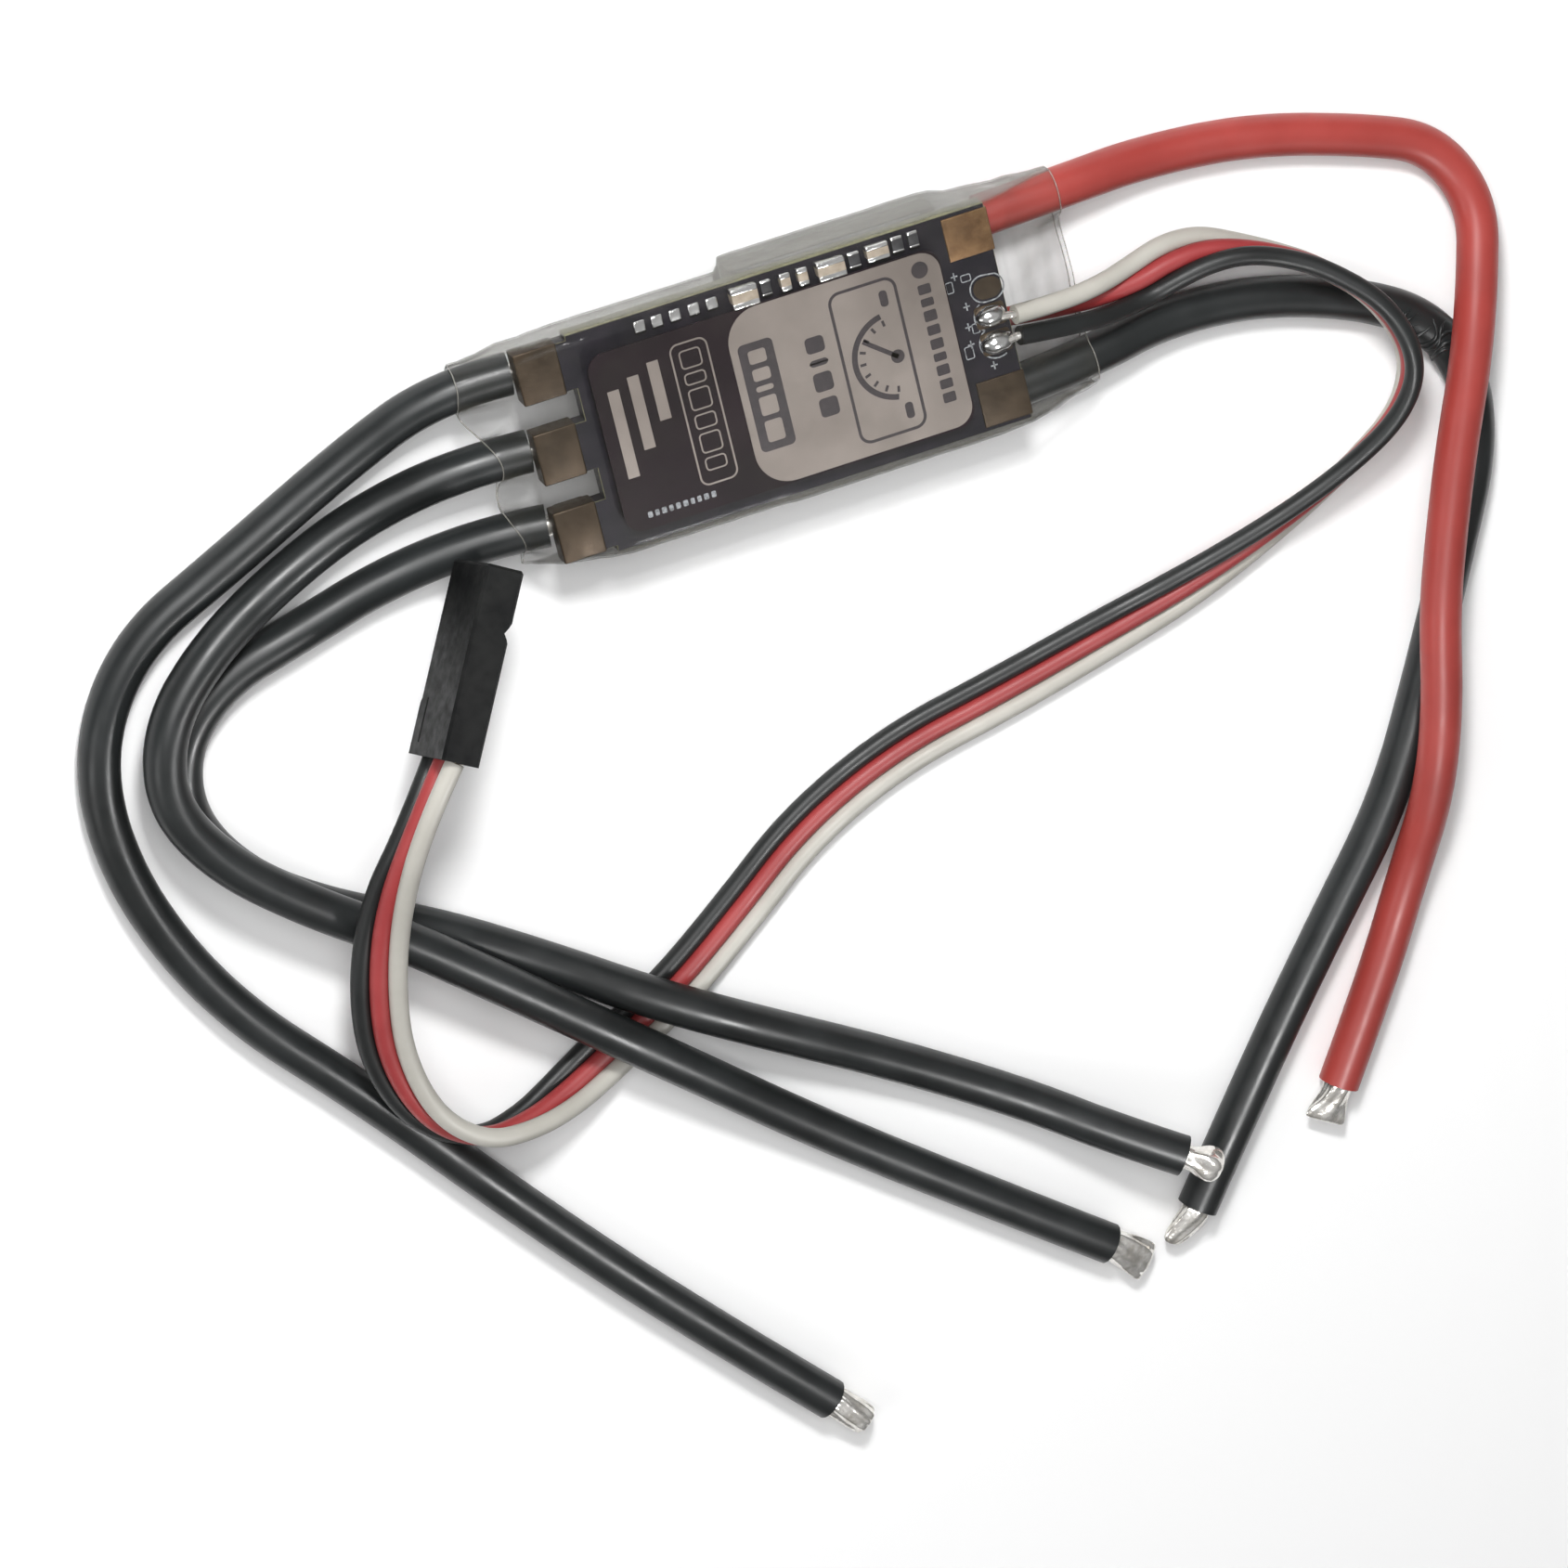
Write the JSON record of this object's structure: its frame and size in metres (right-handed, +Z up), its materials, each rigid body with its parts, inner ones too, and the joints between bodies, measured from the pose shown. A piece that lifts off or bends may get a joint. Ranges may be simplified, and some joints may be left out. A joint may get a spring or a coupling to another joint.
{
  "type": "electronic speed controller",
  "caption": "Flat circuit board in clear heat-shrink with heavy wire leads at both ends and a thin three-core signal cable ending in a small socket plug.",
  "frame": {"origin": "centre of the sleeved body's footprint, on the surface it lies on", "axes": "+X along the board from the phase tabs to the battery pads, +Y across the board, +Z up"},
  "size_m": [0.1101, 0.0902, 0.0152],
  "materials": {
    "solder_mask": "satin",
    "plating": "satin",
    "chip_body": "matte",
    "thermal_rubber": "matte",
    "spreader_metal": "satin",
    "ceramic_body": "satin",
    "ferrite_body": "matte",
    "shunt_metal": "satin",
    "solder": "gloss",
    "label_dark": "satin",
    "label_silver": "satin",
    "clear_film": "gloss",
    "silicone_black": "satin",
    "silicone_red": "satin",
    "tinned_strand": "satin",
    "core_black": "satin",
    "core_red": "satin",
    "core_white": "satin",
    "plug_plastic": "matte",
    "contact_metal": "satin"
  },
  "bodies": {
    "root": {"main_board": "solder_mask", "phase_pads": "plating", "battery_pad_positive": "plating", "battery_pad_negative": "plating", "signal_pads": "plating", "power_mosfets_high": "chip_body", "power_mosfets_low": "chip_body", "thermal_pad": "thermal_rubber", "heat_spreader": "spreader_metal", "bulk_capacitors": "ceramic_body", "microcontroller": "chip_body", "gate_drivers": "chip_body", "voltage_regulator": "chip_body", "power_inductor": "ferrite_body", "current_shunt": "shunt_metal", "small_passives": "ceramic_body", "edge_capacitors": "ceramic_body", "edge_resistors": "chip_body", "edge_small_capacitors": "ceramic_body", "edge_solder_pads": "solder", "label_backing": "label_dark", "label_panel": "label_silver", "heat_shrink_sleeve": "clear_film", "phase_lead_a": "silicone_black", "phase_lead_b": "silicone_black", "phase_lead_c": "silicone_black", "phase_strand_a": "tinned_strand", "phase_strand_b": "tinned_strand", "phase_strand_c": "tinned_strand", "phase_solder_joints": "solder", "battery_lead_positive": "silicone_red", "battery_lead_negative": "silicone_black", "battery_strand_positive": "tinned_strand", "battery_strand_negative": "tinned_strand", "battery_solder_joints": "solder", "phase_tip_a": "tinned_strand", "phase_tip_b": "tinned_strand", "phase_tip_c": "tinned_strand", "battery_tip_positive": "tinned_strand", "battery_tip_negative": "tinned_strand", "signal_core_black": "core_black", "signal_core_red": "core_red", "signal_core_white": "core_white", "signal_strands": "tinned_strand", "signal_solder_joints": "solder", "plug_housing": "plug_plastic", "plug_contacts": "contact_metal"}
  },
  "joints": []
}
